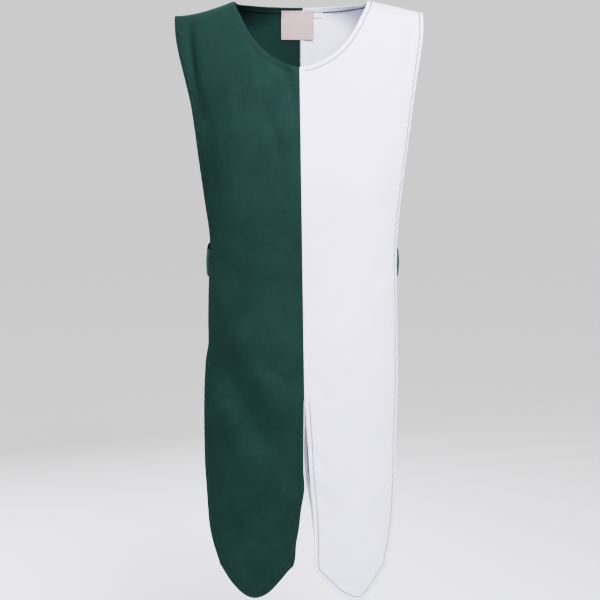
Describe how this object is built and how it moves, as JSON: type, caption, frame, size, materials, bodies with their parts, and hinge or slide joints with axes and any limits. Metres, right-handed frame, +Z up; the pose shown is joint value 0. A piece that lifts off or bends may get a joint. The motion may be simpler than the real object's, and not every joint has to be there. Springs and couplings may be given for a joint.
{
  "type": "worn parti-coloured tabard",
  "caption": "Sleeveless knee-length tabard, half green and half white, with open sides, waist straps, a round neck and slit lappet hems, worn and hollow.",
  "frame": {"origin": "midway between the neck ends of the two shoulder seams, where the wearer's shoulders carry the garment", "axes": "+Z up along the worn garment, -Y out of its front, +X to the right of someone who looks at the front"},
  "size_m": [0.4649, 0.2234, 1.1276],
  "materials": {
    "green_cotton": "dark bottle-green cotton twill, matt with a faint sheen",
    "white_cotton": "cool white cotton twill, matt",
    "label_tape": "pale pink woven tape, bare",
    "tab_tape": "white woven tape, bare"
  },
  "bodies": {
    "root": {"front_green": "green_cotton", "front_white": "white_cotton", "back_green": "green_cotton", "back_white": "white_cotton", "strap_left": "green_cotton", "strap_right": "green_cotton", "neck_label": "label_tape", "size_tab": "tab_tape"}
  },
  "joints": []
}
